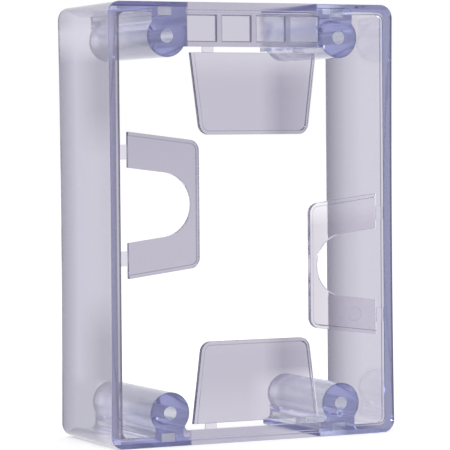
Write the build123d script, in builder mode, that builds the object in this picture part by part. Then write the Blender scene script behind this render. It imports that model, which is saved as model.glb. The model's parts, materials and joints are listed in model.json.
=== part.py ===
"""Open rectangular spacer frame moulded in clear polycarbonate.

Two deep C-shaped side channels carry four full-depth screw posts. The top and bottom
walls are cut away between the posts, and thin flanges bridge the gap at the near face.
Four flat break-off tabs hang in the opening, each on two thin webs.

Frame: X across, Y from the near face to the far face, Z up, origin at the middle of the
bottom face. All sizes are in millimetres.
"""

import os
from math import cos, radians, sin, sqrt, tan

from build123d import *

os.makedirs("parts", exist_ok=True)

# ---------------------------------------------------------------- driving sizes
# outer shell
width = 130.0              # across the two long walls, at the corners
height = 180.0
depth = 54.0
corner_radius = 5.5        # outer corners
side_bow = 0.6             # long outer walls dish inward by this at mid-height
outer_draft = 0.3          # each outer face closes in by this over the depth

# walls
side_wall = 3.8            # left and right walls at the near face
end_wall = 3.2             # top and bottom walls at the near face
cavity_radius = 2.8        # inner corners
cavity_draft = 0.6         # each inner face opens out by this over the depth

# near-face lip that narrows the opening
lip_width = 1.1
lip_depth = 2.6

# screw posts, placed by their screw axes
post_side_inset = 25.8     # from the outer side faces
post_top_inset = 13.9      # from the top face
post_bottom_inset = 13.6   # from the bottom face
post_head_radius = 8.5
post_shoulder = 0.9        # cut walls stand this far inside the heads, beside the notches
post_neck_width = 12.8
post_flare = 2.6           # concave foot where the neck meets the wall
post_throat = 2.0          # concave radius between head and neck
post_dome = 2.6            # rounding of the far end
screw_hole_diameter = 5.5

# coring pocket in the foot of each post, from the far end
core_width = 6.0
core_height = 3.4
core_inset = 2.1           # from the outer face
core_skin = 2.5            # material left at the near face

# flanges that bridge the notches
flange_thickness = 2.2
top_flange_height = 18.1
bottom_flange_height = 6.2
flange_rib_width = 1.5
flange_rib_depth = 1.2
top_rib_drop = 2.9         # outer edge of the flange to the rib
bottom_rib_rise = 1.6

# four square windows in the top flange, closed by thin panels
window_count = 4
window_gap = 3.0           # bar between neighbouring windows
window_height = 10.2
window_drop = 5.5          # top face to the upper edge of the windows
window_recess = 1.0
panel_thickness = 1.2

# break-off tabs
tab_thickness = 2.2
tab_lean = 7.2             # degrees that the sides close in towards the free edge
tab_border = 1.7
tab_recess = 0.4
tab_corner = 4.4           # free corners

end_tab_clearance = 1.2    # upper and lower tabs to the cut walls, at the webs
end_tab_reach = 33.4
end_tab_gap = 2.3          # slot between flange and tab
end_web_inset = 7.8        # end of the tab to the middle of the web
end_web_width = 5.2

side_tab_width = 59.2      # left and right tabs, at the webs
side_tab_reach = 31.4
side_tab_gap = 3.5
side_web_inset = 8.2
side_web_width = 6.0
left_tab_rise = 8.1        # middle of the left tab above mid-height
right_tab_drop = 18.6      # middle of the right tab below mid-height

side_notch_width = 30.2    # C-shaped cut-out of the side tabs, at the webs
side_notch_spine = 3.6     # material left between the cut-out and the free edge

web_thickness = 0.6
web_recess = 0.3           # webs lie this far behind the near face

# ---------------------------------------------------------------- derived places
near_y = -depth / 2
opening_width = width - 2 * (side_wall + lip_width)
opening_height = height - 2 * (end_wall + lip_width)
cavity_width = width - 2 * side_wall
cavity_height = height - 2 * end_wall
post_x = width / 2 - post_side_inset
post_top_z = height - post_top_inset
post_bottom_z = post_bottom_inset
notch_edge = post_x - post_head_radius - post_shoulder
notch_width = 2 * notch_edge
window_width = (notch_width - (window_count - 1) * window_gap) / window_count
window_pitch = window_width + window_gap
end_tab_width = notch_width - 2 * end_tab_clearance
lean_slope = tan(radians(tab_lean))


def behind(distance):
    """Plane parallel to the near face, this far behind it, drawn in X and Z."""
    return Plane.XZ.offset(-near_y - distance)


def write(solid, name):
    solid.label = name
    export_step(solid, f"parts/{name}.step")


# ---------------------------------------------------------------- side channels
def outer_face(distance, inset):
    """Outer outline, closed in by inset; the long sides are shallow arcs."""
    half = width / 2 - inset
    low, high = inset, height - inset
    middle = (low + high) / 2
    with BuildSketch(behind(distance)) as outline:
        with BuildLine():
            Line((-half, low), (half, low))
            ThreePointArc((half, low), (half - side_bow, middle), (half, high))
            Line((half, high), (-half, high))
            ThreePointArc((-half, high), (-half + side_bow, middle), (-half, low))
        make_face()
        fillet(outline.vertices(), corner_radius)
    return outline.sketch


with BuildPart() as ring:
    loft([outer_face(0, 0), outer_face(depth, outer_draft)], ruled=True)
    with BuildSketch(behind(lip_depth)):
        with Locations((0, height / 2)):
            RectangleRounded(cavity_width, cavity_height, cavity_radius)
    with BuildSketch(behind(depth)):
        with Locations((0, height / 2)):
            far_width = cavity_width + 2 * cavity_draft
            far_height = cavity_height + 2 * cavity_draft
            RectangleRounded(far_width, far_height, cavity_radius)
    loft(ruled=True, mode=Mode.SUBTRACT)
    with BuildSketch(behind(0)):
        with Locations((0, height / 2)):
            RectangleRounded(opening_width, opening_height, cavity_radius)
    extrude(amount=-lip_depth, mode=Mode.SUBTRACT)


def beside_notch(side):
    """Keep what lies beyond the notch edge on one side (-1 left, 1 right)."""
    split(bisect_by=Plane.YZ.offset(side * notch_edge), keep=Keep.TOP if side > 0 else Keep.BOTTOM)


def side_channel(side):
    """The part of the ring on one side of the notches."""
    with BuildPart() as channel:
        add(ring.part)
        beside_notch(side)
        for outer_z, up in ((0, 1), (height, -1)):
            with BuildSketch(behind(core_skin)):
                with Locations((side * post_x, outer_z + up * (core_inset + core_height / 2))):
                    Rectangle(core_width, core_height)
            extrude(amount=core_skin - depth, mode=Mode.SUBTRACT)
    return channel.part


left_side_channel = side_channel(-1)
right_side_channel = side_channel(1)
write(left_side_channel, "left_side_channel")
write(right_side_channel, "right_side_channel")


# ---------------------------------------------------------------- screw posts
def near_point(x, y):
    """Filter for the sketch vertex at x, y."""
    return lambda vertex: abs(vertex.X - x) < 0.01 and abs(vertex.Y - y) < 0.01


def head(x, z):
    """Round boss of a post with a rounded far end."""
    with BuildPart() as boss:
        with BuildSketch(behind(0)):
            with Locations((x, z)):
                Circle(post_head_radius)
        extrude(amount=-depth)
        fillet(boss.edges().sort_by(Axis.Y)[-1], post_dome)
    return boss.part


def post(side, upper, channel):
    """Screw post: round head, narrow neck and flared foot, run through the full depth."""
    up = -1 if upper else 1
    outer_z = height if upper else 0
    head_z = post_top_z if upper else post_bottom_z
    wall_z = outer_z + up * (end_wall - cavity_draft)
    foot_z = outer_z + up * end_wall / 2
    x = side * post_x
    neck = post_neck_width / 2
    throat_z = head_z - up * sqrt(post_head_radius**2 - neck**2)
    with BuildPart() as body:
        with BuildSketch(behind(0)) as section:
            with Locations((x, head_z)):
                Circle(post_head_radius)
            with Locations((x, (foot_z + head_z) / 2)):
                Rectangle(post_neck_width, abs(head_z - foot_z))
            with Locations((x, (foot_z + wall_z) / 2)):
                Rectangle(post_neck_width + 4 * post_flare, abs(wall_z - foot_z))
            if upper:
                shoulder_z = height - top_flange_height
                with Locations((side * (post_x + notch_edge) / 2, (foot_z + shoulder_z) / 2)):
                    Rectangle(post_x - notch_edge, foot_z - shoulder_z)
            for neck_side in (side,) if upper else (-1, 1):
                neck_x = x + neck_side * neck
                fillet(section.vertices().filter_by(near_point(neck_x, wall_z)), post_flare)
                fillet(section.vertices().filter_by(near_point(neck_x, throat_z)), post_throat)
            with Locations((x, head_z)):
                Circle(post_head_radius, mode=Mode.SUBTRACT)
        extrude(amount=-depth)
        beside_notch(side)
        add(channel, mode=Mode.SUBTRACT)
        add(head(x, head_z))
        with BuildSketch(behind(0)):
            with Locations((x, head_z)):
                Circle(screw_hole_diameter / 2)
        extrude(amount=-depth, mode=Mode.SUBTRACT)
        with BuildSketch(behind(core_skin)):
            with Locations((x, outer_z + up * (core_inset + core_height / 2))):
                Rectangle(core_width, core_height)
        extrude(amount=core_skin - depth, mode=Mode.SUBTRACT)
    return body.part


for upper, level in ((True, "top"), (False, "bottom")):
    write(post(-1, upper, left_side_channel), f"post_{level}_left")
    write(post(1, upper, right_side_channel), f"post_{level}_right")


# ---------------------------------------------------------------- flanges and window panels
window_xs = [(i - (window_count - 1) / 2) * window_pitch for i in range(window_count)]
window_z = height - window_drop - window_height / 2


def flange(outer_z, up, flange_height, rib_offset):
    """Thin plate across a notch at the near face, with a low rib on its back."""
    with BuildPart() as plate:
        with BuildSketch(behind(0)):
            with Locations((0, outer_z + up * flange_height / 2)):
                Rectangle(notch_width, flange_height)
        extrude(amount=-flange_thickness)
        with BuildSketch(behind(flange_thickness)):
            with Locations((0, outer_z + up * (rib_offset + flange_rib_width / 2))):
                Rectangle(notch_width, flange_rib_width)
        extrude(amount=-flange_rib_depth)
    return plate.part


with BuildPart() as top_flange:
    add(flange(height, -1, top_flange_height, top_rib_drop))
    with BuildSketch(behind(0)):
        with Locations(*[(x, window_z) for x in window_xs]):
            Rectangle(window_width, window_height)
    extrude(amount=-flange_thickness, mode=Mode.SUBTRACT)
write(top_flange.part, "top_flange")
write(flange(0, 1, bottom_flange_height, bottom_rib_rise), "bottom_flange")

for number, x in enumerate(window_xs, start=1):
    with BuildPart() as window_panel:
        with BuildSketch(behind(window_recess)):
            with Locations((x, window_z)):
                Rectangle(window_width, window_height)
        extrude(amount=-panel_thickness)
    write(window_panel.part, f"window_panel_{number}")


# ---------------------------------------------------------------- break-off tabs
# A tab is drawn lying down: its root edge on the local x axis, its free edge above it.
def tab_plane(edge_x, edge_z, turn, distance):
    """Drawing plane whose y axis points from the root edge of a tab into the opening."""
    return Plane(
        origin=(edge_x, near_y + distance, edge_z),
        x_dir=Vector(1, 0, 0).rotate(Axis.Y, turn),
        z_dir=(0, -1, 0),
    )


def tab_outline(tab_width, reach, cut_out, inset):
    """Outline of a tab, closed in by inset; a side tab has a C-shaped cut-out."""
    with BuildSketch() as outline:
        half, tip = tab_width / 2, tab_width / 2 - reach * lean_slope
        with BuildLine():
            Polyline((-half, 0), (half, 0), (tip, reach), (-tip, reach), close=True)
        make_face()
        fillet(outline.vertices().group_by(Axis.Y)[-1], tab_corner)
        if cut_out:
            lean = radians(tab_lean)
            mouth, floor = side_notch_width / 2, reach - side_notch_spine
            radius = (mouth - floor * lean_slope) * cos(lean) / (1 - sin(lean))
            centre_y = floor - radius
            side_x, side_y = radius * cos(lean), centre_y + radius * sin(lean)
            with BuildLine():
                Polyline((-mouth, 0), (mouth, 0), (side_x, side_y), (-side_x, side_y), close=True)
            make_face(mode=Mode.SUBTRACT)
            with Locations((0, centre_y)):
                Circle(radius, mode=Mode.SUBTRACT)
        if inset:
            offset(amount=-inset, kind=Kind.INTERSECTION)
    return outline.sketch


def write_tab(name, edge_x, edge_z, turn, tab_width, reach, gap, web_inset, web_width,
              web_names, cut_out=False):
    """Tab with a shallow framed panel, and the two webs that hold it."""
    with BuildPart() as tab:
        with BuildSketch(tab_plane(edge_x, edge_z, turn, 0)):
            add(tab_outline(tab_width, reach, cut_out, 0))
        extrude(amount=-tab_thickness)
        with BuildSketch(tab_plane(edge_x, edge_z, turn, 0)):
            add(tab_outline(tab_width, reach, cut_out, tab_border))
        extrude(amount=-tab_recess, mode=Mode.SUBTRACT)
    write(tab.part, name)
    for web_side, web_name in zip((-1, 1), web_names):
        with BuildPart() as web:
            with BuildSketch(tab_plane(edge_x, edge_z, turn, web_recess)):
                with Locations((web_side * (tab_width / 2 - web_inset), -gap / 2)):
                    Rectangle(web_width, gap)
            extrude(amount=-web_thickness)
        write(web.part, f"{name}_{web_name}_web")


end_tab = dict(tab_width=end_tab_width, reach=end_tab_reach, gap=end_tab_gap,
               web_inset=end_web_inset, web_width=end_web_width)
side_tab = dict(tab_width=side_tab_width, reach=side_tab_reach, gap=side_tab_gap,
                web_inset=side_web_inset, web_width=side_web_width, cut_out=True)
top_edge_z = height - top_flange_height - end_tab_gap
bottom_edge_z = bottom_flange_height + end_tab_gap
side_edge_x = opening_width / 2 - side_tab_gap

write_tab("top_tab", 0, top_edge_z, 180, web_names=("right", "left"), **end_tab)
write_tab("bottom_tab", 0, bottom_edge_z, 0, web_names=("left", "right"), **end_tab)
write_tab("left_tab", -side_edge_x, height / 2 + left_tab_rise, 90,
          web_names=("upper", "lower"), **side_tab)
write_tab("right_tab", side_edge_x, height / 2 - right_tab_drop, -90,
          web_names=("lower", "upper"), **side_tab)
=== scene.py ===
"""Clear polycarbonate spacer frame: its looks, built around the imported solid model.

Everything is in metres in the model's own frame: X across, Y from the near face to the
far face, Z up from the bottom face. Lengths that a moulder would quote are in millimetres.
"""

import json
from math import asin, atan2, ceil, cos, degrees, floor, hypot, pi, radians, sin, sqrt, tan

import bmesh
import bpy
from mathutils import Matrix, Vector

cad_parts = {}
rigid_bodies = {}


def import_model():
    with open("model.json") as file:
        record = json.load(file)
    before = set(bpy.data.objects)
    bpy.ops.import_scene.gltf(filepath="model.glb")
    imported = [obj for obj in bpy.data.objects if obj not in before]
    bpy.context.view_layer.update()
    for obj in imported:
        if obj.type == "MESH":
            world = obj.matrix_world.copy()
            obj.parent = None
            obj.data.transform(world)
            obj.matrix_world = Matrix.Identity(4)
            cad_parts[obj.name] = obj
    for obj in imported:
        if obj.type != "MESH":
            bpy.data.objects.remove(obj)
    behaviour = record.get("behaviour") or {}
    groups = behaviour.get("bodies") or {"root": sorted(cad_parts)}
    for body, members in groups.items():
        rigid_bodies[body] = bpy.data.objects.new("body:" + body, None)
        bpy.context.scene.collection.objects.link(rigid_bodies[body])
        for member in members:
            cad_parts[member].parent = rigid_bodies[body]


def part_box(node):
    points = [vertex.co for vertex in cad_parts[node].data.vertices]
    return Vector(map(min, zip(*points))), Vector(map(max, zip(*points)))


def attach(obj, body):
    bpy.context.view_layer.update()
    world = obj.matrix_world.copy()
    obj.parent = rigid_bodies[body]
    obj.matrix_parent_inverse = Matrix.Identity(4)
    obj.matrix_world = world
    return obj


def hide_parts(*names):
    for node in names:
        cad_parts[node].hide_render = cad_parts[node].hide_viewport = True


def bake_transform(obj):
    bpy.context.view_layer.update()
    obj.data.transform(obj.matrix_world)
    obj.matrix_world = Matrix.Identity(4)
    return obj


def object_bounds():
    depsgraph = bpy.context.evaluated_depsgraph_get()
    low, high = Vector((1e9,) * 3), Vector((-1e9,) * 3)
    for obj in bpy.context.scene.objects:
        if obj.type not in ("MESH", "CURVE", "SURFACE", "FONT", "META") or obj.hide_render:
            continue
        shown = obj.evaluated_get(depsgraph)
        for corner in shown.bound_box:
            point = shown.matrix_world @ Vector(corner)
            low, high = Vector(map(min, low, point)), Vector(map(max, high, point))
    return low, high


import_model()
CAD_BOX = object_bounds()
(_, NEAR, _), (_, FAR, TOP) = CAD_BOX

bl_info = {
    "name": "Clear spacer frame",
    "version": (1, 0, 0),
    "blender": (4, 5, 0),
    "location": "View3D > Sidebar > Spacer",
    "description": "Builds a clear moulded spacer frame with four break-off tabs",
    "category": "Add Mesh",
}

MM = 0.001
HALF_WIDTH = 65.0 * MM      # middle of the part to a side face at its corners
CLEAR_BOUNCES = 40          # turns of light inside the plastic
HEAD_SIDES = 96             # facets of a post's round head
HOLE_SIDES = 64             # of a screw hole
ARCH_SIDES = 100            # of the round end of a cut-out
MARK_SIDES = 48             # of a ring that the mould leaves
DOT_SIDES = 24              # of the dot in the middle of one
GRID = 2 ** 20              # steps per metre, exact in a mesh's single-precision corners
OVERLAP = 0.1 * MM          # how far solids that are joined run into each other
SLACK = 0.05 * MM           # room in tests of where a face or a corner lies
SMOOTH_BELOW = radians(35)  # edges flatter than this are shaded smooth


# ---------------------------------------------------------------- places
# Each tab: from its root towards its free edge, and the sides that its webs are on.
TABS = {
    "top_tab": (Vector((0, 0, -1)), ("left", "right")),
    "bottom_tab": (Vector((0, 0, 1)), ("left", "right")),
    "left_tab": (Vector((1, 0, 0)), ("upper", "lower")),
    "right_tab": (Vector((-1, 0, 0)), ("upper", "lower")),
}
# Where each lamp hangs, in metres.
LAMPS = {
    "lamp_left": (-0.9, -0.7, 0.9),
    "lamp_right": (1.0, -0.3, 0.8),
    "lamp_behind": (-0.8, 0.9, 0.7),
}
WHITE = (1, 1, 1)

# Where one tint gives way to the next: most of these bound painted shade or painted
# light. A pair runs from its first place to its second.
POST_TO_WALL = 50 * MM, 59 * MM         # outwards from the middle
ACROSS_RIM = 60 * MM, 65 * MM           # outwards from the middle
FLANGE_TO_RIGHT = 0, 12 * MM            # to the right
# Painted shade: a dimmer band on the left wall towards its front.
DIM_WALL = NEAR + 0.7 * (FAR - NEAR), NEAR + 12 * MM    # forwards
FOOT_OF_WALL = 28 * MM, 22 * MM         # downwards
HEAD_OF_WALL = 150 * MM, 180 * MM       # upwards
# Painted shade in the outer corners of the left wall, and how much of it shows.
OUTER_CORNER = 3.5 * MM, 1.5 * MM       # towards the top and bottom faces
OUTER_CORNER_SHARE = 0.65               # how much of the corner's tint shows
# Painted shade at the edge of each post head.
HEAD_EDGE = 0.86                        # share of a head's radius inside its darker edge
HEAD_EDGE_FOOT = 4 * MM                 # how far below the screw axis that edge ends
# Painted light where the pockets shine through the near face, and on the upper right lip.
POCKET_SHIFT = 1 * MM                   # how far left of its place a pocket shines through
LIP_GAP = 2 * MM                        # notch to the pale part of the upper right lip
FACE_DEPTH = 1.2                        # depth of the near face in parts of the rim rounding
# Painted light in the lower right corner of the lower tab.
TAB_CORNER_RISE = 30 * MM, 22 * MM      # downwards, to the lower tab's pale corner
TAB_CORNER_ASIDE = -4 * MM, 4 * MM      # to the right
TAB_CORNER_PALER = 12 * MM, 26 * MM     # to the right
# Painted shade at the right tab's free end, painted light on its upper arm and its webs.
RIGHT_TAB_TIP = 22 * MM, 42 * MM        # from the free edge to the right
RIGHT_TAB_ARM = 88 * MM, 96 * MM        # upwards
RIGHT_WEBS = 40 * MM, 50 * MM           # to the right


# ---------------------------------------------------------------- settings
def number(description, default, **more):
    """A number property that is never below nothing."""
    return bpy.props.FloatProperty(description=description, default=default, min=0, **more)


def share(description, default):
    """A number property from 0 to 1."""
    return number(description, default, max=1, subtype="FACTOR")


def length(description, millimetres, **more):
    """A length property given in millimetres and kept in metres."""
    return number(description, millimetres * MM, unit="LENGTH", subtype="DISTANCE",
                  precision=5, **more)


def angle(description, turn):
    """An angle property given in degrees."""
    return bpy.props.FloatProperty(
        description=description, default=radians(turn), subtype="ANGLE")


def linear(hex_colour):
    """Linear RGB of an sRGB hex colour such as "C8C5D6"."""
    channels = [int(hex_colour[i:i + 2], 16) / 255 for i in (0, 2, 4)]
    return [c / 12.92 if c <= 0.04045 else ((c + 0.055) / 1.055) ** 2.4 for c in channels]


def colour(description, hex_colour):
    """A colour property given as sRGB hex."""
    return bpy.props.FloatVectorProperty(
        description=description, default=linear(hex_colour), subtype="COLOR",
        min=0, max=1, size=3)


def named(group):
    """Name each property of a group after its identifier, unless it has a name."""
    for identifier, prop in group.__annotations__.items():
        prop.keywords.setdefault("name", identifier.replace("_", " ").capitalize())
    return group


@named
class SpacerShellSizes(bpy.types.PropertyGroup):
    """Sizes of the deep rectangular shell."""
    corner_radius: length("Outer corners seen from the front", 5.5)
    side_bow: length("How far the long sides dish inward at mid-height", 0.6)
    outer_draft: length("Closing in of each outer face over the depth", 0.3)
    side_wall: length("Thickness of the long walls at the near face", 3.8)
    end_wall: length("Thickness of the short walls at the near face", 3.2)
    cavity_radius: length("Inner corners", 2.8)
    cavity_draft: length("Opening out of each inner face over the depth", 0.6)
    lip_width: length("How far the near lip narrows the opening", 1.1)
    lip_depth: length("Depth of the near lip", 2.6)
    notch_edge: length("Middle of the part to the cut side of a notch", 29.8)
    rim_rounding: length("Radius of the outer near and far rims", 0.5)
    edge_rounding: length("Radius that moulding leaves on sharp edges", 0.22)


@named
class SpacerPostSizes(bpy.types.PropertyGroup):
    """Sizes of the four screw posts."""
    post_x: length("Middle of the part to a screw axis", 39.2, name="Post offset")
    top_inset: length("Top face to the upper screw axes", 13.9)
    bottom_inset: length("Bottom face to the lower screw axes", 13.6)
    head_radius: length("Round head of a post", 8.5)
    neck_width: length("Neck between head and wall", 12.8)
    foot_flare: length("Concave radius where the neck meets the wall", 2.6)
    throat_radius: length("Concave radius between head and neck", 2.0)
    far_dome: length("Rounding of the far end of a head", 2.6)
    hole_radius: length("Screw clearance hole", 2.75)
    core_width: length("Coring pocket in the foot, across", 6.0)
    core_height: length("Coring pocket in the foot, upward", 3.4)
    core_inset: length("Outer face to the coring pocket", 2.1)
    core_skin: length("Material in front of the coring pocket", 2.5)


@named
class SpacerFlangeSizes(bpy.types.PropertyGroup):
    """Sizes of the two bridging flanges and their windows."""
    thickness: length("Plate thickness", 2.2)
    top_height: length("Upper flange", 18.1)
    bottom_height: length("Lower flange", 6.2)
    rib_width: length("Low rib on the back", 1.5)
    rib_depth: length("How far the rib stands out", 1.2)
    rib_taper: share("Width of the rib's crest in parts of its foot", 0.4)
    top_rib_drop: length("Outer edge to the upper rib", 2.9)
    bottom_rib_rise: length("Outer edge to the lower rib", 1.6)
    window_gap: length("Bar between neighbouring windows", 3.0)
    window_height: length("Height of a window", 10.2)
    window_drop: length("Top face to the windows", 5.5)
    window_recess: length("Depth of a window's panel", 1.0)
    window_easing: length("Slope around the mouth of a window", 0.5)
    window_count: bpy.props.IntProperty(
        description="Number of square windows", default=4, min=1)


@named
class SpacerTabSizes(bpy.types.PropertyGroup):
    """Sizes of the four break-off tabs and their webs."""
    thickness: length("Plate thickness", 2.2)
    lean: angle("How far the sides close in towards the free edge", 7.2)
    border: length("Width of the raised border", 1.7)
    recess: length("Depth inside the border, and width of its slope", 0.4)
    corner: length("Radius of the free corners", 4.4)
    notch_width: length("Mouth of the C-shaped cut-out", 30.2)
    notch_spine: length("Material between the cut-out and the free edge", 3.6)
    web_rounding: length("Rounded edges of the thin webs", 0.08)


@named
class SpacerMarkSizes(bpy.types.PropertyGroup):
    """Shallow marks that the gate and an ejector pin leave."""
    gate_aside: length("Screw axis to the gate, inwards", 0.5)
    gate_drop: length("Screw axis down to the gate", 4.3)
    gate_radius: length("Outer radius of the gate's ring", 1.4)
    gate_width: length("Width of that ring", 0.45)
    gate_dot: length("Radius of the dot in its middle", 0.4)
    gate_depth: length("Depth of ring and dot", 0.15)
    ejector_x: length("Middle of the part to the ejector ring", 46.3, name="Ejector across")
    ejector_z: length("Bottom face to the ejector ring", 50.6, name="Ejector height")
    ejector_radius: length("Outer radius of the ejector ring", 3.0)
    ejector_width: length("Width of that ring", 0.35)
    ejector_depth: length("Depth of that ring", 0.1)


@named
class SpacerPlasticLook(bpy.types.PropertyGroup):
    """Colours and finish of the clear plastic, with painted shade and painted light by place."""
    # Rims: painted shade on their near faces, with narrow painted highlight and shadow strips.
    left_rim: colour("Near face of the left wall", "E6D4CA")
    left_rim_deep: colour("The same towards the opening", "B4A89E")
    right_rim: colour("Near face of the right wall", "FFF8EC")
    rim_light: colour("Narrow light strips along the rims", "BAB6C4")
    rim_dark: colour("Narrow dark strips along the rims", "6A6578")
    # Side walls: painted shade that deepens towards the far edge, more on the left, and painted
    # light beside the posts.
    left_near: colour("Left wall behind its rim", "C0BCCB")
    left_dim: colour("The same between middle and ends", "A4A0B0")
    left_top: colour("Left wall beside the upper post", "DCD8E4")
    left_foot: colour("Left wall beside the lower post, near", "E2DEEB")
    left_foot_dim: colour("The same, deeper in", "B2AFBE")
    left_clear: colour("Left wall at a third of its depth", "C5C1D0")
    left_middle: colour("Left wall at two thirds", "C1BECF")
    left_far: colour("Left wall near its far edge", "A39FB3")
    left_edge: colour("Left wall at its far edge", "8A8698")
    right_clear: colour("Clearest part of the right wall", "CECAD7")
    right_middle: colour("Right wall at two thirds", "BBB8C6")
    right_far: colour("Right wall near its far edge", "9C98A9")
    right_edge: colour("Right wall at its far edge", "787488")
    # Flanges, posts and lips: painted shade, darker on the left and at the heads' edges, with
    # painted light over the pockets and on the right.
    flange: colour("Near face of the flanges", "A9A5B9")
    left_plate: colour("Windows and backs of the flanges, left", "CCC8D6")
    right_plate: colour("Windows and backs of the flanges, right", "E2DFE9")
    head: colour("Near face of the posts", "847F9F")
    head_edge: colour("Near face of the posts at their edge", "5E5A7C")
    over_pocket: colour("Near face over the cored pockets", "D2CEDC")
    left_lip: colour("Near face of the lip beside the left posts", "B8B2D4")
    right_lip: colour("The same on the right", "FAF9FD")
    left_band: colour("Near face of the left ends of the short walls", "444066")
    right_band: colour("The same on the right", "CCC8DA")
    left_post: colour("Left posts behind their near face", "F4F1FA")
    left_post_side: colour("The same at neck and flank", "BCB9C6")
    right_post: colour("Right posts behind their near face", "FCFCFE")
    right_post_side: colour("The same at the flank", "EEECF4")
    # Painted light on the walls of holes and pockets and on the webs towards the right, and
    # painted shade on the narrow slopes.
    core: colour("Walls of the holes and pockets", "FFFFFF")
    web: colour("Tint of the thin webs", "DEDBE6")
    right_web: colour("Tint of the webs of the right tab", "FAF9FC")
    line: colour("Tint of the narrow slopes that draw a line", "4C4860")
    # Tabs: painted shade towards the right end of the end tabs, on the left tab's upper arm and at
    # the right tab's free end, and painted light in their pale parts.
    end_tab: colour("Tint of the upper and lower tabs", "C2BECD")
    end_tab_dim: colour("Tint towards their right ends", "A5A1B3")
    end_tab_side: colour("The same beyond it", "B3AFBF")
    end_tab_clear: colour("Palest corner of the lower tab", "F2EEF6")
    end_tab_pale: colour("Lower right corner of the lower tab", "D2CEDB")
    left_tab: colour("Tint of the left tab", "BEBACA")
    left_tab_dim: colour("Tint of its upper arm", "B6B2C3")
    right_tab: colour("Tint of the right tab", "EAE7EE")
    right_tab_pale: colour("Tint of its upper arm", "FAF8FC")
    right_tab_tip: colour("Tint of its free end", "D8D4DF")
    body: colour("Colour that light takes on deep inside", "7D9FF9")
    tab_body: colour("The same, in the tabs", "908BC5")
    density: number("Absorption per metre", 10.0)
    tab_density: number("Absorption per metre in the tabs", 25.0)
    ior: number("Index of refraction of polycarbonate", 1.585, name="IOR")
    roughness: share("Polished steel mould", 0.03)
    core_roughness: share("Turned core pins of the holes and pockets", 0.35)
    flow_size: length("Width of the slow waves that the melt leaves", 14)
    flow_height: length("Height of those waves", 0.15)


@named
class SpacerStudioSettings(bpy.types.PropertyGroup):
    """Camera, floor and light."""
    camera_place: bpy.props.FloatVectorProperty(
        description="Where the lens stands", default=(-0.47106, -0.97563, 0.12603), size=3,
        subtype="TRANSLATION", unit="LENGTH")
    camera_yaw: angle("Turn of the view to the right of straight on", 25.732)
    camera_pitch: angle("Downward tilt of the view", 1.997)
    camera_roll: angle("Roll of the view", -0.49)
    focal_length: number("Lens on a 36 mm sensor", 206.55, subtype="DISTANCE_CAMERA")
    floor_colour: colour("Pale matt floor", "F4F4F4")
    light_colour: colour("Colour of the soft room light", "F0F0F4")
    lamp_power: number("Power of each soft lamp", 2.0, unit="POWER")
    lamp_size: length("Side of each square lamp", 250)
    room_strength: number("Strength of the room's light", 0.85)
    floor_glow: number("Lifts the floor to white for the lens", 0.4)
    floor_size: length("Side of the square floor", 60000)


# ---------------------------------------------------------------- modelling helpers
def deselect_all():
    """Leave nothing selected."""
    for obj in bpy.context.view_layer.objects:
        obj.select_set(False)


def make_active(obj):
    """Select one object alone and make it active."""
    deselect_all()
    obj.select_set(True)
    bpy.context.view_layer.objects.active = obj


def snap(obj):
    """Snap corners to a grid finer than a micrometre, so that faces meant to be flush are."""
    for vertex in obj.data.vertices:
        vertex.co = [round(c * GRID) / GRID for c in vertex.co]


def settle(name):
    """Name the new primitive and put its place, turn and size into its mesh."""
    obj = bpy.context.active_object
    obj.name = obj.data.name = name
    bpy.ops.object.transform_apply(location=True, rotation=True, scale=True)
    snap(obj)
    return obj


def block(name, low, high, corner=0, segments=8):
    """A block between two corners, with its four edges along Y rounded if it has a corner."""
    deselect_all()
    low, high = Vector(low), Vector(high)
    bpy.ops.mesh.primitive_cube_add(size=1, location=(low + high) / 2, scale=high - low)
    obj = settle(name)
    if corner:
        round_edges(obj, along_y, corner, segments)
    return obj


def funnel(name, low, high, flare, corner=0):
    """A block that widens by the same amount on every side towards its near face."""
    obj = block(name, low, high, corner)
    low, high = Vector(low), Vector(high)
    middle, half = (low + high) / 2, (high - low) / 2
    scale_slice(obj, lambda v: v.co.y < middle.y, (1 + flare / half.x, 1, 1 + flare / half.z),
                (middle.x, low.y, middle.z))
    return obj


def rod(name, x, z, radius, near, far, sides=MARK_SIDES):
    """A round bar along Y."""
    deselect_all()
    bpy.ops.mesh.primitive_cylinder_add(
        vertices=sides, radius=radius, depth=far - near,
        location=(x, (near + far) / 2, z), rotation=(pi / 2, 0, 0))
    return settle(name)


def ring(name, x, z, radius, width, near, far):
    """A round tube along Y."""
    tube = rod(name, x, z, radius, near, far)
    return cut(tube, rod("bore", x, z, radius - width, near - MM, far + MM))


def arc(x, z, radius, start, end, steps):
    """Points along an arc about (x, z), from one angle to another in degrees."""
    turns = [radians(start + (end - start) * i / steps) for i in range(steps + 1)]
    return [(x + radius * cos(a), z + radius * sin(a)) for a in turns]


def edit_all(obj):
    """Enter edit mode with everything selected."""
    make_active(obj)
    bpy.ops.object.mode_set(mode="EDIT")
    bpy.ops.mesh.select_all(action="SELECT")


def bar(name, outline, near, far):
    """A bar along Y with the given outline of (x, z) points."""
    deselect_all()
    bpy.ops.mesh.primitive_circle_add(
        vertices=len(outline), fill_type="NGON", location=(0, near, 0), rotation=(pi / 2, 0, 0))
    obj = settle(name)
    for vertex, (x, z) in zip(obj.data.vertices, outline):
        vertex.co = Vector((x, near, z))
    edit_all(obj)
    bpy.ops.mesh.extrude_region_move(TRANSFORM_OT_translate={"value": (0, far - near, 0)})
    bpy.ops.mesh.select_all(action="SELECT")
    bpy.ops.mesh.normals_make_consistent(inside=False)
    leave_edit()
    snap(obj)
    return obj


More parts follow.
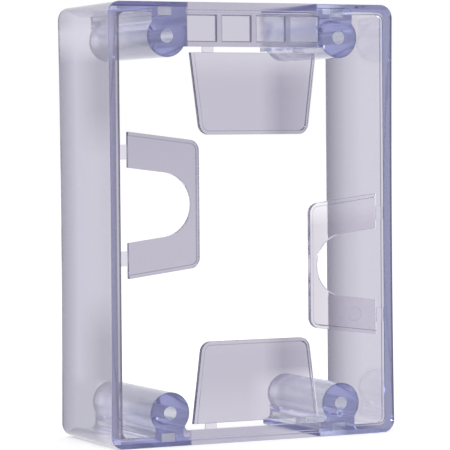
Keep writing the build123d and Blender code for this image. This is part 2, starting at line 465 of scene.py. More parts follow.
def pick(obj, kind, test):
    """Enter edit mode with only the vertices, edges or faces that pass the test selected."""
    edit_all(obj)
    bpy.ops.mesh.select_mode(type={"verts": "VERT", "edges": "EDGE", "faces": "FACE"}[kind])
    bpy.ops.mesh.select_all(action="DESELECT")
    mesh = bmesh.from_edit_mesh(obj.data)
    for element in getattr(mesh, kind):
        if test(element):
            element.select_set(True)
    mesh.select_flush_mode()
    bmesh.update_edit_mesh(obj.data)


def leave_edit():
    """Back to object mode."""
    bpy.ops.object.mode_set(mode="OBJECT")


def along_y(edge):
    """Whether an edge runs from near to far."""
    step = edge.verts[1].co - edge.verts[0].co
    return abs(step.y) > 0.99 * step.length


def round_edges(obj, test, radius, segments):
    """Round the edges that pass the test."""
    pick(obj, "edges", test)
    bpy.ops.mesh.bevel(offset=radius, segments=segments, profile=0.5, affect="EDGES")
    leave_edit()


def scale_slice(obj, test, factors, centre):
    """Scale the vertices that pass the test about a point."""
    pick(obj, "verts", test)
    bpy.ops.transform.resize(value=factors, center_override=centre)
    leave_edit()


def slice_up(obj, start, end, slices):
    """Divide an object by evenly spaced flat cuts between two points."""
    pick(obj, "faces", lambda face: True)
    for number in range(1, slices):
        bpy.ops.mesh.select_all(action="SELECT")
        place = [a + (b - a) * number / slices for a, b in zip(start, end)]
        bpy.ops.mesh.bisect(plane_co=place, plane_no=(end - start).normalized())
    leave_edit()


def modify(obj, kind, **settings):
    """Add a modifier with its settings, and apply it."""
    make_active(obj)
    modifier = obj.modifiers.new(kind.lower(), kind)
    for name, value in settings.items():
        setattr(modifier, name, value)
    bpy.ops.object.modifier_apply(modifier=modifier.name)


def combine(obj, tool, operation):
    """Add or cut another solid with a Boolean modifier, and drop it."""
    modify(obj, "BOOLEAN", operation=operation, solver="MANIFOLD", object=tool)
    bpy.data.objects.remove(tool)
    return obj


def add_solid(obj, tool):
    """Join another solid to this one."""
    return combine(obj, tool, "UNION")


def cut(obj, tool):
    """Cut another solid out of this one."""
    return combine(obj, tool, "DIFFERENCE")


def add_pair(obj, left):
    """Join a left-hand solid, and its mirror image with its own mesh, to this one."""
    make_active(left)
    bpy.ops.object.duplicate()
    right = settle("right_twin")
    edit_all(right)
    bpy.ops.transform.resize(value=(-1, 1, 1), center_override=(0, 0, 0))
    bpy.ops.mesh.flip_normals()
    leave_edit()
    add_solid(obj, left)
    add_solid(obj, right)


def clean_faces(obj):
    """Merge stray points and join the flat faces that a Boolean leaves."""
    edit_all(obj)
    bpy.ops.mesh.remove_doubles(threshold=0.02 * MM)
    bpy.ops.mesh.dissolve_limited(angle_limit=radians(0.04))
    bpy.ops.mesh.normals_make_consistent(inside=False)
    leave_edit()


def shade(obj):
    """Split hollow-sided faces into convex ones and shade curves smooth, flats truly flat."""
    edit_all(obj)
    bpy.ops.mesh.vert_connect_concave()
    leave_edit()
    bpy.ops.object.shade_smooth_by_angle(angle=SMOOTH_BELOW)
    modify(obj, "WEIGHTED_NORMAL", mode="FACE_AREA", weight=100, keep_sharp=True)


def mark(obj, name, strength, test):
    """Give an attribute that a material reads to the faces whose place and normal pass."""
    layer = obj.data.attributes.get(name) or obj.data.attributes.new(name, "FLOAT", "FACE")
    for face, value in zip(obj.data.polygons, layer.data):
        if test(*face.center, face.normal):
            value.value = strength


def soften(obj, rounding, keep_to_size=False):
    """Round every sharp edge a little, as a mould does, and less in tight places if asked."""
    modify(obj, "BEVEL", width=rounding, segments=2, limit_method="ANGLE",
           use_clamp_overlap=keep_to_size, angle_limit=radians(32))


# ---------------------------------------------------------------- materials
def bare_tree(owner):
    """Turn on the nodes of a material or a world, and clear them."""
    owner.use_nodes = True
    owner.node_tree.nodes.clear()
    return owner.node_tree


def add_node(tree, kind, inputs=(), **settings):
    """Add a shader node with its settings and links.

    Inputs go by name, or in order to the sockets in use. A node given as an input is linked
    by its first output in use, and a colour needs no alpha.
    """
    node = tree.nodes.new("ShaderNode" + kind)
    for name, value in settings.items():
        setattr(node, name, value)
    sockets = [socket for socket in node.inputs if socket.enabled]
    for key, value in inputs.items() if isinstance(inputs, dict) else enumerate(inputs):
        socket = node.inputs[key] if isinstance(key, str) else sockets[key]
        if isinstance(value, bpy.types.Node):
            value = next(output for output in value.outputs if output.enabled)
        if isinstance(value, bpy.types.NodeSocket):
            tree.links.new(value, socket)
        elif socket.type == "RGBA":
            socket.default_value = (*value, 1)
        else:
            socket.default_value = value
    return node


def drift(tree, coordinate, low, high, *stops):
    """A tint or mask that drifts along a coordinate; a stop is a place from 0 to 1 and a value."""
    along = add_node(tree, "MapRange", (coordinate, low, high))
    ramp = add_node(tree, "ValToRGB", (along,))
    elements = ramp.color_ramp.elements
    while len(elements) < len(stops):
        elements.new(0.5)
    for element, (where, _) in zip(elements, stops):
        element.position = where
    for element, (_, tint) in zip(elements, stops):
        element.color = (tint, tint, tint, 1) if isinstance(tint, (int, float)) else (*tint, 1)
    return ramp


def zone(tree, *parts):
    """A mask that is the product of its parts.

    A part is a mask, a (comparison, *values) test, or a (value, from, to) that fades in.
    """
    masks = []
    for part in parts:
        if isinstance(part, tuple):
            test = isinstance(part[0], str)
            part = (add_node(tree, "Math", part[1:], operation=part[0]) if test
                    else add_node(tree, "MapRange", part))
        masks.append(part)
    while len(masks) > 1:
        masks.append(add_node(tree, "Math", (masks.pop(), masks.pop()), operation="MULTIPLY"))
    return masks[0]


def paint(tree, tint, *layers):
    """Lay other tints over a tint one after another, each through its own mask or zone."""
    for mask, layer in layers:
        tint = add_node(tree, "Mix", (zone(tree, mask), tint, layer), data_type="RGBA")
    return tint


def clear_polycarbonate(name, tint_and_shading_of, body, density):
    """Moulded clear polycarbonate with a faint smoky lavender tint.

    Polished tool faces give a sharp, glassy surface. The melt's flow leaves a very slow
    waviness, and the long paths inside deep walls and posts turn a clear blue. The tint by
    place carries painted shade and painted light: narrow slopes get a painted dark line, and
    the walls of holes and pockets are painted light. Holes and pockets left by turned core pins
    are a little matt.
    """
    look = bpy.context.scene.spacer_look
    material = bpy.data.materials.new(name)
    tree = bare_tree(material)
    place = add_node(tree, "TexCoord").outputs["Object"]
    tint = tint_and_shading_of(tree, add_node(tree, "SeparateXYZ", (place,)))
    # Painted shade on the narrow slopes (line) and painted light on the core pins' walls (core).
    for attribute, marked in (("line", look.line), ("core", look.core)):
        faces = add_node(tree, "Attribute", attribute_name=attribute)
        tint = paint(tree, tint, (faces.outputs["Fac"], marked))
    flow = add_node(tree, "TexNoise", {
        "Vector": place, "Scale": 1 / look.flow_size, "Detail": 1.0})
    waviness = add_node(tree, "Bump", {
        "Height": flow, "Strength": 0.25, "Distance": look.flow_height})
    matt = add_node(tree, "Attribute", attribute_name="matt")
    finish = add_node(tree, "MapRange", {
        "Value": matt.outputs["Fac"], "To Min": look.roughness, "To Max": look.core_roughness})
    surface = add_node(tree, "BsdfPrincipled", {
        "Base Color": tint, "Transmission Weight": 1.0, "IOR": look.ior,
        "Roughness": finish, "Normal": waviness})
    inside = add_node(tree, "VolumeAbsorption", {"Color": body, "Density": density})
    add_node(tree, "OutputMaterial", {"Surface": surface, "Volume": inside})
    return material


def dress(obj, material):
    """Give a piece one material."""
    obj.data.materials.clear()
    obj.data.materials.append(material)


# ---------------------------------------------------------------- the moulding
class SPACER_OT_moulding(bpy.types.Operator):
    """Shell, posts, flanges and window panels, moulded as one"""
    bl_idname = "spacer.moulding"
    bl_label = "Moulding"

    def shell(self, s):
        """Rounded deep ring with dished sides, drafted faces and a near lip."""
        half, middle, beyond = HALF_WIDTH, TOP / 2, FAR + MM
        shell = block("clear_moulding", (-half, NEAR, 0), (half, FAR, TOP), s.corner_radius, 12)
        round_edges(shell, lambda edge: not along_y(edge), s.rim_rounding, segments=3)
        slice_up(shell, Vector((0, 0, 0)), Vector((0, 0, TOP)), slices=16)
        for z in sorted({round(v.co.z, 7) for v in shell.data.vertices}):
            bow = s.side_bow * (1 - (z / middle - 1) ** 2)
            scale_slice(shell, lambda v: abs(v.co.z - z) < 0.001 * MM,
                        (1 - bow / half, 1, 1), (0, 0, z))
        scale_slice(shell, lambda v: v.co.y > FAR - MM,
                    (1 - s.outer_draft / half, 1, 1 - s.outer_draft / middle), (0, FAR, middle))

        inner_x, inner_z = half - s.side_wall, s.end_wall
        cavity = block("cavity", (-inner_x, NEAR + s.lip_depth, inner_z),
                       (inner_x, beyond, TOP - inner_z), s.cavity_radius)
        spread = s.cavity_draft * (beyond - NEAR - s.lip_depth) / (FAR - NEAR - s.lip_depth)
        scale_slice(cavity, lambda v: v.co.y > FAR,
                    (1 + spread / inner_x, 1, 1 + spread / (middle - inner_z)),
                    (0, beyond, middle))
        cut(shell, cavity)
        mouth_x, mouth_z = inner_x - s.lip_width, inner_z + s.lip_width
        cut(shell, block("mouth", (-mouth_x, NEAR - MM, mouth_z),
                         (mouth_x, NEAR + 2 * s.lip_depth, TOP - mouth_z), s.cavity_radius))
        ease = s.rim_rounding / 2
        cut(shell, funnel("mouth_easing", (-mouth_x, NEAR - ease, mouth_z),
                          (mouth_x, NEAR + ease, TOP - mouth_z), 2 * ease, s.cavity_radius))
        cut(shell, block("notches", (-s.notch_edge, NEAR - MM, -MM),
                         (s.notch_edge, beyond, TOP + MM)))
        return shell

    def post(self, s, p, f, upper):
        """Left screw post: round head, narrow neck and flared foot, with a domed far end."""
        neck, head = p.neck_width / 2, p.head_radius
        # Drawn with the head's axis at the origin and the wall below it.
        drop = p.top_inset if upper else p.bottom_inset
        foot = s.end_wall / 2 - drop
        wall = s.end_wall - s.cavity_draft - OVERLAP / 2 - drop
        reach = head + p.throat_radius
        throat_x = neck + p.throat_radius
        throat_z = sqrt(reach ** 2 - throat_x ** 2)
        lean = degrees(asin(throat_z / reach))
        flank = [
            (neck + p.foot_flare, foot),
            *arc(neck + p.foot_flare, wall + p.foot_flare, p.foot_flare, 270, 180, 8),
            *arc(throat_x, -throat_z, p.throat_radius, 180, 180 - lean, 4)]
        if upper:
            edge, step = p.post_x - s.notch_edge, f.top_height - p.top_inset
            outline = [(edge, foot), (edge, step), (sqrt(head ** 2 - step ** 2), step)]
            start = degrees(asin(step / head))
        else:
            outline = flank[:]
            start = -lean
        facet = 360 / HEAD_SIDES
        # Whole facets only, so that none is thinner than a tenth of one.
        first, last = ceil(start / facet + 0.1), floor((180 + lean) / facet - 0.1)
        outline += arc(0, 0, head, first * facet, last * facet, last - first)
        outline += [(-x, z) for x, z in reversed(flank)]
        up = -1 if upper else 1
        head_z = TOP - drop if upper else drop
        placed = [(x - p.post_x, head_z + up * z) for x, z in outline]
        post = bar("post", placed, NEAR, FAR)
        above = rod("above_dome", -p.post_x, head_z, head, FAR - p.far_dome, FAR + MM, HEAD_SIDES)
        dome = rod("dome", -p.post_x, head_z, head, NEAR, FAR, HEAD_SIDES)
        round_edges(dome, lambda edge: all(v.co.y > FAR - SLACK for v in edge.verts),
                    p.far_dome, segments=6)
        return cut(post, cut(above, dome))

    def flange(self, s, f, outer_z, up, height, rib_offset):
        """Thin plate across a notch, with a low rib on its back."""
        edge, back = s.notch_edge + OVERLAP, NEAR + f.thickness
        z0, z1 = sorted((outer_z, outer_z + up * height))
        plate = block("flange", (-edge, NEAR, z0), (edge, back, z1))
        r0, r1 = sorted((outer_z + up * rib_offset, outer_z + up * (rib_offset + f.rib_width)))
        rib = block("rib", (-edge, back - 2 * OVERLAP, r0), (edge, back + f.rib_depth, r1))
        scale_slice(rib, lambda v: v.co.y > back, (1, 1, f.rib_taper), (0, back, (r0 + r1) / 2))
        return add_solid(plate, rib)

    def gusset(self, s, p, f):
        """Thin corner that carries the lower flange on to the left post's neck."""
        neck = p.post_x - p.neck_width / 2
        edge = s.notch_edge - OVERLAP
        corner_x, corner_z = neck - p.throat_radius, f.bottom_height + p.throat_radius
        outline = [(edge, s.end_wall / 2), (edge, f.bottom_height),
                   *arc(corner_x, corner_z, p.throat_radius, 270, 360, 8),
                   (neck + MM, corner_z), (neck + MM, s.end_wall / 2)]
        return bar("gusset", [(-x, z) for x, z in outline], NEAR, NEAR + f.thickness)

    def mark_faces(self, moulding, s, p, f, m):
        """Mark slopes for a painted dark line, core pins' walls for painted light, and faces that
        are a little matt.
        """
        window_top = TOP - f.window_drop + f.window_easing
        window_foot = window_top - f.window_height - 2 * f.window_easing
        gate_x, gate_z = p.post_x - m.gate_aside, p.bottom_inset - m.gate_drop

        def slope(normal):
            return 0.05 < abs(normal.y) < 0.95

        def right_rim(x, y, z, normal):
            return (slope(normal) and x > HALF_WIDTH - s.side_bow - s.rim_rounding
                    and y < NEAR + s.rim_rounding)

        def mouth(x, y, z, normal):
            return (slope(normal) and y < NEAR + s.rim_rounding / 2
                    and s.notch_edge < abs(x) < HALF_WIDTH - s.side_wall
                    and s.end_wall < z < TOP - s.end_wall)

        def window_slope(x, y, z, normal):
            return (slope(normal) and window_foot - SLACK < z < window_top + SLACK
                    and abs(x) < s.notch_edge + MM and y < NEAR + f.window_recess - SLACK)

        def cored(x, y, z, normal):
            aside, rise = abs(x) - p.post_x, min(z, TOP - z) - p.core_inset
            in_hole = any(hypot(aside, z - axis) < p.hole_radius + SLACK
                          for axis in (p.bottom_inset, TOP - p.top_inset))
            in_pocket = (abs(aside) < p.core_width / 2 + SLACK
                         and -SLACK < rise < p.core_height + SLACK
                         and NEAR + p.core_skin - SLACK < y < FAR - MM)
            return in_hole or in_pocket

        def gate_floor(x, y, z, low, high):
            reach = hypot(x - gate_x, z - gate_z)
            return abs(y - NEAR - m.gate_depth) < SLACK and low <= reach < high

        def gate_dot(x, y, z, normal):
            return gate_floor(x, y, z, 0, m.gate_dot)

        def gate_ring(x, y, z, normal):
            return gate_floor(x, y, z, m.gate_dot, m.gate_radius)

        def post_side(x, y, z, normal):
            return (abs(abs(x) - p.post_x) < p.head_radius + SLACK and y > NEAR + MM
                    and s.end_wall < min(z, TOP - z) < p.top_inset + p.head_radius
                    and abs(normal.y) < 0.5)

        def notch_flank(x, y, z, normal):
            return abs(normal.x) > 0.95 and abs(abs(x) - s.notch_edge) < SLACK

        def flange_back(x, y, z, normal):
            return (normal.y > 0.95 and abs(x) < s.notch_edge
                    and abs(y - NEAR - f.thickness) < SLACK)

        # Painted shade on the right rim's outer rounding, the gate's dot and the slopes of mouth
        # and windows; painted light on holes, pockets and the gate's ring.
        for name, strength, test in (
                ("line", 1.0, right_rim), ("line", 1.0, gate_dot), ("line", 0.7, mouth),
                ("line", 0.7, window_slope), ("core", 1.0, cored), ("core", 1.0, gate_ring),
                ("matt", 0.35, post_side), ("matt", 0.8, notch_flank),
                ("matt", 0.45, flange_back), ("matt", 1.0, cored)):
            mark(moulding, name, strength, test)

    def wall_tint_light_and_shade(self, tree, axes):
        """Tint by place, with painted shade and painted light: the side walls are painted darker
        from the front to the far edge.
        """
        scene = bpy.context.scene
        look, s, p = scene.spacer_look, scene.spacer_shell, scene.spacer_posts
        across, depth, height = axes.outputs
        middle = TOP / 2
        out = add_node(tree, "Math", (across,), operation="ABSOLUTE")
        level = add_node(tree, "Math", (height, middle), operation="SUBTRACT")
        level = add_node(tree, "Math", (level,), operation="ABSOLUTE")
        from_end = add_node(tree, "Math", (middle, level), operation="SUBTRACT")
        on_left = zone(tree, ("LESS_THAN", across, 0))
        in_notch = zone(tree, ("LESS_THAN", out, s.notch_edge))
        past_post = zone(tree, (out, *POST_TO_WALL))

        # The left wall, in painted shade: dimmer near its front between the middle and the posts,
        # lighter beside the posts, and darker in its outer corners.
        dim = zone(tree, drift(tree, level, 0, middle, (0.3, 0), (0.52, 1), (0.73, 1), (0.8, 0)),
                   (depth, *DIM_WALL))
        beside_foot = drift(
            tree, depth, NEAR, FAR, (0.22, look.left_foot), (0.34, look.left_foot_dim),
            (0.7, look.left_foot_dim), (0.87, look.left_far), (1, look.left_edge))
        upper = drift(tree, height, *HEAD_OF_WALL, (0.2, 0), (0.5, 0.6), (0.62, 0.7),
                      (0.78, 0.35))
        corner = from_end, *OUTER_CORNER, 0, OUTER_CORNER_SHARE
        left = drift(
            tree, depth, NEAR, FAR, (0, look.left_near), (0.1, look.left_near),
            (0.35, look.left_clear), (0.66, look.left_middle), (0.87, look.left_far),
            (1, look.left_edge))
        left = paint(tree, left, (dim, look.left_dim), ((height, *FOOT_OF_WALL), beside_foot),
                     (upper, look.left_top), (corner, look.left_edge))
        right = drift(
            tree, depth, NEAR, FAR, (0, look.right_clear), (0.4, look.right_clear),
            (0.68, look.right_middle), (0.87, look.right_far), (1, look.right_edge))

        # Posts, then the backs of the flanges, then the walls, in painted shade that is darker on
        # the left and at the posts' necks and flanks.
        reach = p.top_inset + p.head_radius
        left_posts = drift(
            tree, from_end, 0, reach, (0.19, look.left_post), (0.25, look.left_post_side),
            (0.32, look.left_post_side), (0.41, look.left_post), (0.66, look.left_post),
            (0.77, look.left_post_side))
        right_posts = drift(tree, from_end, 0, reach, (0.7, look.right_post),
                            (0.78, look.right_post_side))
        plates = paint(tree, look.left_plate, ((across, *FLANGE_TO_RIGHT), look.right_plate))
        body = paint(
            tree, right_posts, (on_left, left_posts), (in_notch, plates),
            (past_post, paint(tree, right, (on_left, left))))

        # The near face: round heads in painted shade with a darker painted edge, painted light
        # over the cored pockets, which shine through a little to the left of where they are, then
        # the flanges.
        axis_level = (p.top_inset + p.bottom_inset) / 2
        head_reach = add_node(tree, "VectorMath", (
            add_node(tree, "CombineXYZ", (out, from_end)), (p.post_x, axis_level, 0)),
            operation="DISTANCE")
        head_edge = zone(
            tree, ("GREATER_THAN", from_end, axis_level - HEAD_EDGE_FOOT),
            (head_reach, HEAD_EDGE * p.head_radius, p.head_radius))
        beside = add_node(tree, "Math", (across, POCKET_SHIFT), operation="ADD")
        beside = add_node(tree, "Math", (beside,), operation="ABSOLUTE")
        pocket = zone(
            tree, ("COMPARE", beside, p.post_x, p.core_width / 2),
            ("COMPARE", from_end, p.core_inset + p.core_height / 2, p.core_height / 2))
        heads = paint(tree, look.head, (head_edge, look.head_edge), (pocket, look.over_pocket),
                      (in_notch, look.flange))

        # The rims: painted shadow and highlight strips on the left one, a painted dark outer edge
        # on the right one, which follows the dished side.
        left_rim = drift(
            tree, out, *ACROSS_RIM, (0, look.rim_dark), (0.2, look.rim_dark),
            (0.24, look.rim_light), (0.36, look.rim_light), (0.4, look.left_rim_deep),
            (0.9, look.left_rim))
        dish = add_node(tree, "Math", (level, level), operation="MULTIPLY")
        dish = add_node(tree, "Math", (dish, -s.side_bow / middle ** 2, out),
                        operation="MULTIPLY_ADD")
        right_rim = drift(
            tree, dish, *(place - s.side_bow for place in ACROSS_RIM), (0, look.right_rim),
            (0.75, look.right_rim), (0.8, look.rim_dark))

        # Then painted shade on the lip beside the left posts, painted light on the lip and wall
        # above the upper right post, and painted shade on the ends of the short walls, darker on
        # the left.
        left_lip = zone(
            tree, ("COMPARE", from_end, s.end_wall + s.lip_width / 2, s.lip_width / 2),
            ("LESS_THAN", across, -p.post_x - p.neck_width / 2))
        right_lip = zone(
            tree, ("GREATER_THAN", height, TOP - s.end_wall - s.lip_width),
            ("GREATER_THAN", across, s.notch_edge + LIP_GAP))
        in_end = zone(tree, ("LESS_THAN", from_end, p.core_inset),
                      ("GREATER_THAN", out, s.notch_edge))
        bands = paint(tree, look.right_band, (on_left, look.left_band))
        face = paint(
            tree, heads, (past_post, paint(tree, right_rim, (on_left, left_rim))),
            (left_lip, look.left_lip), (right_lip, look.right_lip), (in_end, bands))
        return paint(tree, body, (("LESS_THAN", depth, NEAR + FACE_DEPTH * s.rim_rounding), face))

    def execute(self, context):
        scene = context.scene
        s, p, f, m, look = (scene.spacer_shell, scene.spacer_posts, scene.spacer_flanges,
                            scene.spacer_marks, scene.spacer_look)
        moulding = self.shell(s)
        for upper in (True, False):
            add_pair(moulding, self.post(s, p, f, upper))
        add_solid(moulding, self.flange(s, f, TOP, -1, f.top_height, f.top_rib_drop))
        add_solid(moulding, self.flange(s, f, 0, 1, f.bottom_height, f.bottom_rib_rise))
        add_pair(moulding, self.gusset(s, p, f))

        width = (2 * s.notch_edge - (f.window_count - 1) * f.window_gap) / f.window_count
        window_top, ease = TOP - f.window_drop, f.window_easing
        window_foot = window_top - f.window_height
        for number in range(f.window_count):
            x = -s.notch_edge + number * (width + f.window_gap)
            cut(moulding, block("window", (x, NEAR - MM, window_foot),
                                (x + width, NEAR + f.window_recess, window_top)))
            cut(moulding, funnel("window_easing", (x, NEAR - ease, window_foot),
                                 (x + width, NEAR + ease, window_top), 2 * ease))
        for x in (-p.post_x, p.post_x):
            for head_z, core_z in ((TOP - p.top_inset, TOP - p.core_inset - p.core_height),
                                   (p.bottom_inset, p.core_inset)):
                cut(moulding, rod("hole", x, head_z, p.hole_radius, NEAR - MM, FAR + MM,
                                  HOLE_SIDES))
                cut(moulding, block("core", (x - p.core_width / 2, NEAR + p.core_skin, core_z),
                                    (x + p.core_width / 2, FAR + MM, core_z + p.core_height)))
        # Ring and dot left by the gate on the foot of the lower right post.
        gate = p.post_x - m.gate_aside, p.bottom_inset - m.gate_drop
        cut(moulding, ring("gate_mark", *gate, m.gate_radius, m.gate_width,
                           NEAR - MM, NEAR + m.gate_depth))
        cut(moulding, rod("gate_dot", *gate, m.gate_dot, NEAR - MM, NEAR + m.gate_depth,
                          DOT_SIDES))
        clean_faces(moulding)
        shade(moulding)
        self.mark_faces(moulding, s, p, f, m)
        # Deep polished walls: clear near the front, with painted shade deepening towards the far
        # edge.
        dress(moulding, clear_polycarbonate("clear_polycarbonate_walls", self.wall_tint_light_and_shade,
                                            look.body, look.density))
        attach(moulding, "frame")
        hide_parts("left_side_channel", "right_side_channel",
                    "post_top_left", "post_top_right", "post_bottom_left", "post_bottom_right",
                    "top_flange", "bottom_flange",
                    "window_panel_1", "window_panel_2", "window_panel_3", "window_panel_4")
        return {"FINISHED"}


class SPACER_OT_tabs(bpy.types.Operator):
    """The four break-off tabs"""
    bl_idname = "spacer.tabs"
    bl_label = "Tabs"

    def ejector_mark(self, tab, m, floor_y):
        """Shallow ring that an ejector pin left in the lower arm."""
        bottom = floor_y + m.ejector_depth
        cut(tab, ring("ejector_mark", m.ejector_x, m.ejector_z, m.ejector_radius,
                      m.ejector_width, NEAR - MM, bottom))
        # Painted shade on the floor of the ring.
        mark(tab, "line", 0.25, lambda x, y, z, normal: abs(y - bottom) < SLACK / 2)

    def pocket(self, t, half, reach):
        """The shallow field inside the border, open towards the root, with sloping sides."""
        edge = reach - t.border
        root, tip = (half - t.border / cos(t.lean) - z * tan(t.lean) for z in (-MM, edge))
        pocket = block("pocket", (-root, -t.recess, -MM), (root, t.recess, edge))
        self.narrow(pocket, edge, tip / root, t.corner - t.border, t.lean, segments=8)
        scale_slice(pocket, lambda v: v.co.y < 0,
                    (1 + 2 * t.recess / root, 1, 1 + 2 * t.recess / edge), (0, -t.recess, -MM))
        return pocket

    def narrow(self, plate, edge, factor, corner, lean, segments):
        """Narrow a plate towards its free edge and round the corners there."""
        scale_slice(plate, lambda v: v.co.z > edge - MM, (factor, 1, 1), (0, 0, edge))
        round_edges(plate, lambda e: along_y(e) and e.verts[0].co.z > edge - MM,
                    corner / tan(radians(45) + lean / 2), segments)

    def lying_tab(self, t, name, width, reach, cut_out, rounding):
        """A tab with its root edge on X, its free edge upward, its near face at Y = 0."""
        half = width / 2
        plate = block(name, (-half, 0, 0), (half, t.thickness, reach))
        self.narrow(plate, reach, 1 - reach * tan(t.lean) / half, t.corner, t.lean, segments=10)
        if cut_out:
            mouth, spine = t.notch_width / 2, reach - t.notch_spine
            radius = (mouth - spine * tan(t.lean)) * cos(t.lean) / (1 - sin(t.lean))
            centre = spine - radius
            side_x, side_z = radius * cos(t.lean), centre + radius * sin(t.lean)
            slope = (mouth - side_x) / side_z
            wedge = block("mouth", (-side_x, -MM, -MM), (side_x, t.thickness + MM, side_z))
            foot = (mouth + slope * MM) / side_x
            scale_slice(wedge, lambda v: v.co.z < 0, (foot, 1, 1), (0, 0, -MM))
            add_solid(wedge, rod("arch", 0, centre, radius, -MM, t.thickness + MM, ARCH_SIDES))
            cut(plate, wedge)
        clean_faces(plate)
        soften(plate, rounding)
        cut(plate, self.pocket(t, half, reach))
        shade(plate)
        # The pocket's sides slope at 45 degrees and get a painted dark line; upright sides are
        # matt.
        mark(plate, "line", 0.55, lambda x, y, z, normal: abs(normal.y + sqrt(0.5)) < 0.12)
        mark(plate, "matt", 0.6, lambda x, y, z, normal: abs(normal.y) < 0.6)
        return plate

    def execute(self, context):
        scene = context.scene
        t, s, m, look = (scene.spacer_tabs, scene.spacer_shell, scene.spacer_marks,
                         scene.spacer_look)
        (left, _, _), (right, _, _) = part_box("top_tab")
        (_, _, foot), (_, _, head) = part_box("left_tab")

        def end_tab_tint_and_shade(tree, axes):
            across, _, height = axes.outputs
            tint = drift(tree, across, left, right, (0, look.end_tab), (0.56, look.end_tab),
                         (0.72, look.end_tab_dim), (0.9, look.end_tab_side), (1, look.end_tab))
            pale = drift(tree, height, 0, TOP, (0.07, 0.6), (0.11, 0.3), (0.15, 0),
                         (0.2, 0), (0.235, 0.3), (0.8, 0), (0.83, 0.15), (0.878, 1))
            corner = zone(tree, (height, *TAB_CORNER_RISE), (across, *TAB_CORNER_ASIDE))
            paler = drift(tree, across, *TAB_CORNER_PALER, (0, look.end_tab_pale),
                          (1, look.end_tab_clear))
            return paint(tree, tint, (pale, look.end_tab_pale), (corner, paler))

        def left_tab_tint_and_shade(tree, axes):
            return drift(tree, axes.outputs["Z"], foot, head, (0.3, look.left_tab),
                         (1, look.left_tab_dim))

        def right_tab_tint_light_and_shade(tree, axes):
            tint = drift(tree, axes.outputs["X"], *RIGHT_TAB_TIP, (0, look.right_tab_tip),
                         (1, look.right_tab))
            upper = axes.outputs["Z"], *RIGHT_TAB_ARM
            return paint(tree, tint, (upper, look.right_tab_pale))

        # Thin polished plates, with painted shade and painted light. The end tabs are painted
        # darker to the right and paler near their roots and in the lower tab's right corner, the
        # upper arm of the left tab is painted a shade darker than the lower one, and the right tab
        # is painted the palest, darker at its free end.
        end_plates, left_plate, right_plate = (
            clear_polycarbonate("clear_polycarbonate_" + name, tint, look.tab_body,
                                look.tab_density)
            for name, tint in (("end_tabs", end_tab_tint_and_shade), ("left_tab", left_tab_tint_and_shade),
                               ("right_tab", right_tab_tint_light_and_shade)))
        for name, material in (("top_tab", end_plates), ("bottom_tab", end_plates),
                               ("left_tab", left_plate), ("right_tab", right_plate)):
            towards, _ = TABS[name]
            low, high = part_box(name)
            size, upright = high - low, towards.z != 0
            width, reach = (size.x, size.z) if upright else (size.z, size.x)
            root = [high[i] if towards[i] < 0 else low[i] for i in range(3)]
            root[0 if upright else 2] = ((low + high) / 2)[0 if upright else 2]
            tab = self.lying_tab(t, name + "_plate", width, reach, not upright, s.edge_rounding)
            turn = Matrix.Rotation(atan2(towards.x, towards.z), 4, "Y")
            tab.matrix_world = Matrix.Translation(root) @ turn
            make_active(tab)
            bpy.ops.object.transform_apply(location=True, rotation=True, scale=True)
            if name == "right_tab":
                self.ejector_mark(tab, m, low.y + t.recess)
            if upright:
                # Painted shade on the left-facing sides of the upper and lower tabs.
                mark(tab, "line", 0.4, lambda x, y, z, normal: normal.x < -0.7)
            dress(tab, material)
            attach(tab, name)
            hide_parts(name)
        return {"FINISHED"}


class SPACER_OT_webs(bpy.types.Operator):
    """The eight thin webs that hold the tabs"""
    bl_idname = "spacer.webs"
    bl_label = "Webs"

    def execute(self, context):
        look = context.scene.spacer_look

        def web_tint_and_painted_light(tree, axes):
            return drift(tree, axes.outputs["X"], *RIGHT_WEBS, (0, look.web),
                         (1, look.right_web))

        # Thin webs, as pale as the tabs, painted lighter towards the right.
        material = clear_polycarbonate(
            "clear_polycarbonate_webs", web_tint_and_painted_light, look.tab_body, look.tab_density)
        for tab, (step, sides) in TABS.items():
            for side in sides:
                node = f"{tab}_{side}_web"
                low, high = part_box(node)
                middle = (low + high) / 2
                span = abs((high - low).dot(step))
                web = block(node + "_strip", low, high)
                slice_up(web, middle - step * span / 2, middle + step * span / 2, slices=8)
                soften(web, context.scene.spacer_tabs.web_rounding, keep_to_size=True)
                bpy.ops.object.shade_smooth_by_angle(angle=SMOOTH_BELOW)
                dress(web, material)
                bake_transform(web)
                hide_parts(node)
        return {"FINISHED"}


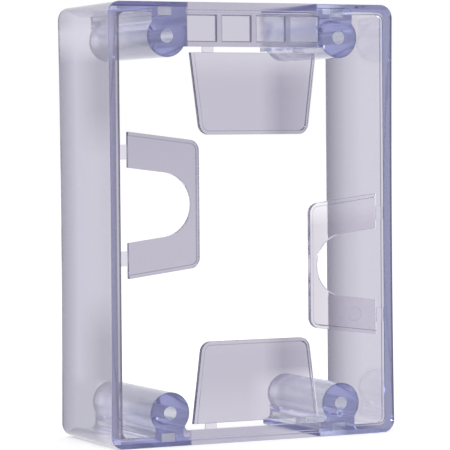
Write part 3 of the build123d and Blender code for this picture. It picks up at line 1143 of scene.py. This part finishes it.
# ---------------------------------------------------------------- stage
class SPACER_OT_stage(bpy.types.Operator):
    """Floor, soft light and camera"""
    bl_idname = "spacer.stage"
    bl_label = "Stage"

    def behind(self, tree):
        """Light path, and whether a ray is on its way through or off the clear plastic."""
        path = add_node(tree, "LightPath")
        glassy = add_node(tree, "Math", (path.outputs["Is Glossy Ray"],
                                         path.outputs["Is Transmission Ray"]),
                          operation="MAXIMUM")
        return path.outputs["Is Camera Ray"], glassy

    def ground(self, studio):
        """Wide pale floor: white to the lens and through the plastic, with the shadow kept."""
        deselect_all()
        bpy.ops.mesh.primitive_plane_add(size=studio.floor_size)
        floor = settle("floor")
        material = bpy.data.materials.new("pale_floor")
        tree = bare_tree(material)
        seen, glassy = self.behind(tree)
        matt = add_node(tree, "BsdfDiffuse", {"Color": studio.floor_colour})
        glow = add_node(tree, "Emission", (WHITE, studio.floor_glow))
        white = add_node(tree, "Emission", (WHITE, 1.0))
        both = add_node(tree, "AddShader", (matt, glow))
        shown = add_node(tree, "MixShader", (seen, matt, both))
        mix = add_node(tree, "MixShader", (glassy, shown, white))
        add_node(tree, "OutputMaterial", {"Surface": mix})
        dress(floor, material)

    def room(self, studio):
        """Even pale room: plain light on the part, white behind it."""
        world = bpy.data.worlds.new("soft_room")
        bpy.context.scene.world = world
        tree = bare_tree(world)
        seen, glassy = self.behind(tree)
        either = add_node(tree, "Math", (glassy, seen), operation="MAXIMUM")
        light = add_node(tree, "Background", (studio.light_colour, studio.room_strength))
        white = add_node(tree, "Background", (WHITE, 1.0))
        mix = add_node(tree, "MixShader", (either, light, white))
        add_node(tree, "OutputWorld", {"Surface": mix})

    def placed(self, name, data):
        """A new object in the scene for a light or a lens."""
        obj = bpy.data.objects.new(name, data)
        bpy.context.scene.collection.objects.link(obj)
        return obj

    def lamp(self, studio, name, place):
        """Square soft lamp aimed at the middle of the part."""
        light = bpy.data.lights.new(name, "AREA")
        light.size = studio.lamp_size
        light.energy = studio.lamp_power
        lamp = self.placed(name, light)
        lamp.location = place
        aim = Vector((0, 0, TOP / 2)) - Vector(place)
        lamp.rotation_euler = aim.to_track_quat("-Z", "Y").to_euler()

    def camera(self, studio):
        """Long lens, low and to the left."""
        lens = bpy.data.cameras.new("camera")
        lens.lens = studio.focal_length
        lens.sensor_width = 36
        lens.clip_start, lens.clip_end = 0.05, 100
        camera = self.placed("camera", lens)
        yaw, pitch, roll = studio.camera_yaw, studio.camera_pitch, studio.camera_roll
        forward = Vector((sin(yaw) * cos(pitch), cos(yaw) * cos(pitch), -sin(pitch)))
        right = Vector((cos(yaw), -sin(yaw), 0))
        upward = right.cross(forward)
        x_axis = cos(roll) * right + sin(roll) * upward
        y_axis = cos(roll) * upward - sin(roll) * right
        turn = Matrix((x_axis, y_axis, -forward)).transposed().to_4x4()
        camera.matrix_world = Matrix.Translation(studio.camera_place) @ turn
        bpy.context.scene.camera = camera

    def execute(self, context):
        studio = context.scene.spacer_studio
        context.scene.view_settings.view_transform = "Standard"
        # Light turns back and forth many times inside a clear wall before it leaves.
        for kind in ("max", "transmission", "glossy"):
            setattr(context.scene.cycles, kind + "_bounces", CLEAR_BOUNCES)
        self.ground(studio)
        self.room(studio)
        for name, place in LAMPS.items():
            self.lamp(studio, name, place)
        self.camera(studio)
        return {"FINISHED"}


class SPACER_PT_build(bpy.types.Panel):
    """Lists the steps that build the spacer frame"""
    bl_label = "Clear spacer frame"
    bl_idname = "SPACER_PT_build"
    bl_space_type = "VIEW_3D"
    bl_region_type = "UI"
    bl_category = "Spacer"

    def draw(self, context):
        for operator in OPERATORS:
            self.layout.operator(operator.bl_idname)
        for group in GROUPS:
            settings = getattr(context.scene, group)
            for name in settings.__annotations__:
                self.layout.prop(settings, name)


GROUPS = {
    "spacer_shell": SpacerShellSizes,
    "spacer_posts": SpacerPostSizes,
    "spacer_flanges": SpacerFlangeSizes,
    "spacer_tabs": SpacerTabSizes,
    "spacer_marks": SpacerMarkSizes,
    "spacer_look": SpacerPlasticLook,
    "spacer_studio": SpacerStudioSettings,
}
OPERATORS = (SPACER_OT_moulding, SPACER_OT_tabs, SPACER_OT_webs, SPACER_OT_stage)


def register():
    for name, group in GROUPS.items():
        bpy.utils.register_class(group)
        setattr(bpy.types.Scene, name, bpy.props.PointerProperty(type=group))
    for cls in (*OPERATORS, SPACER_PT_build):
        bpy.utils.register_class(cls)


def unregister():
    for cls in (SPACER_PT_build, *reversed(OPERATORS)):
        bpy.utils.unregister_class(cls)
    for name, group in GROUPS.items():
        delattr(bpy.types.Scene, name)
        bpy.utils.unregister_class(group)


def main():
    register()
    bpy.ops.spacer.moulding()
    bpy.ops.spacer.tabs()
    bpy.ops.spacer.webs()
    bpy.ops.spacer.stage()


if __name__ == "__main__":
    main()
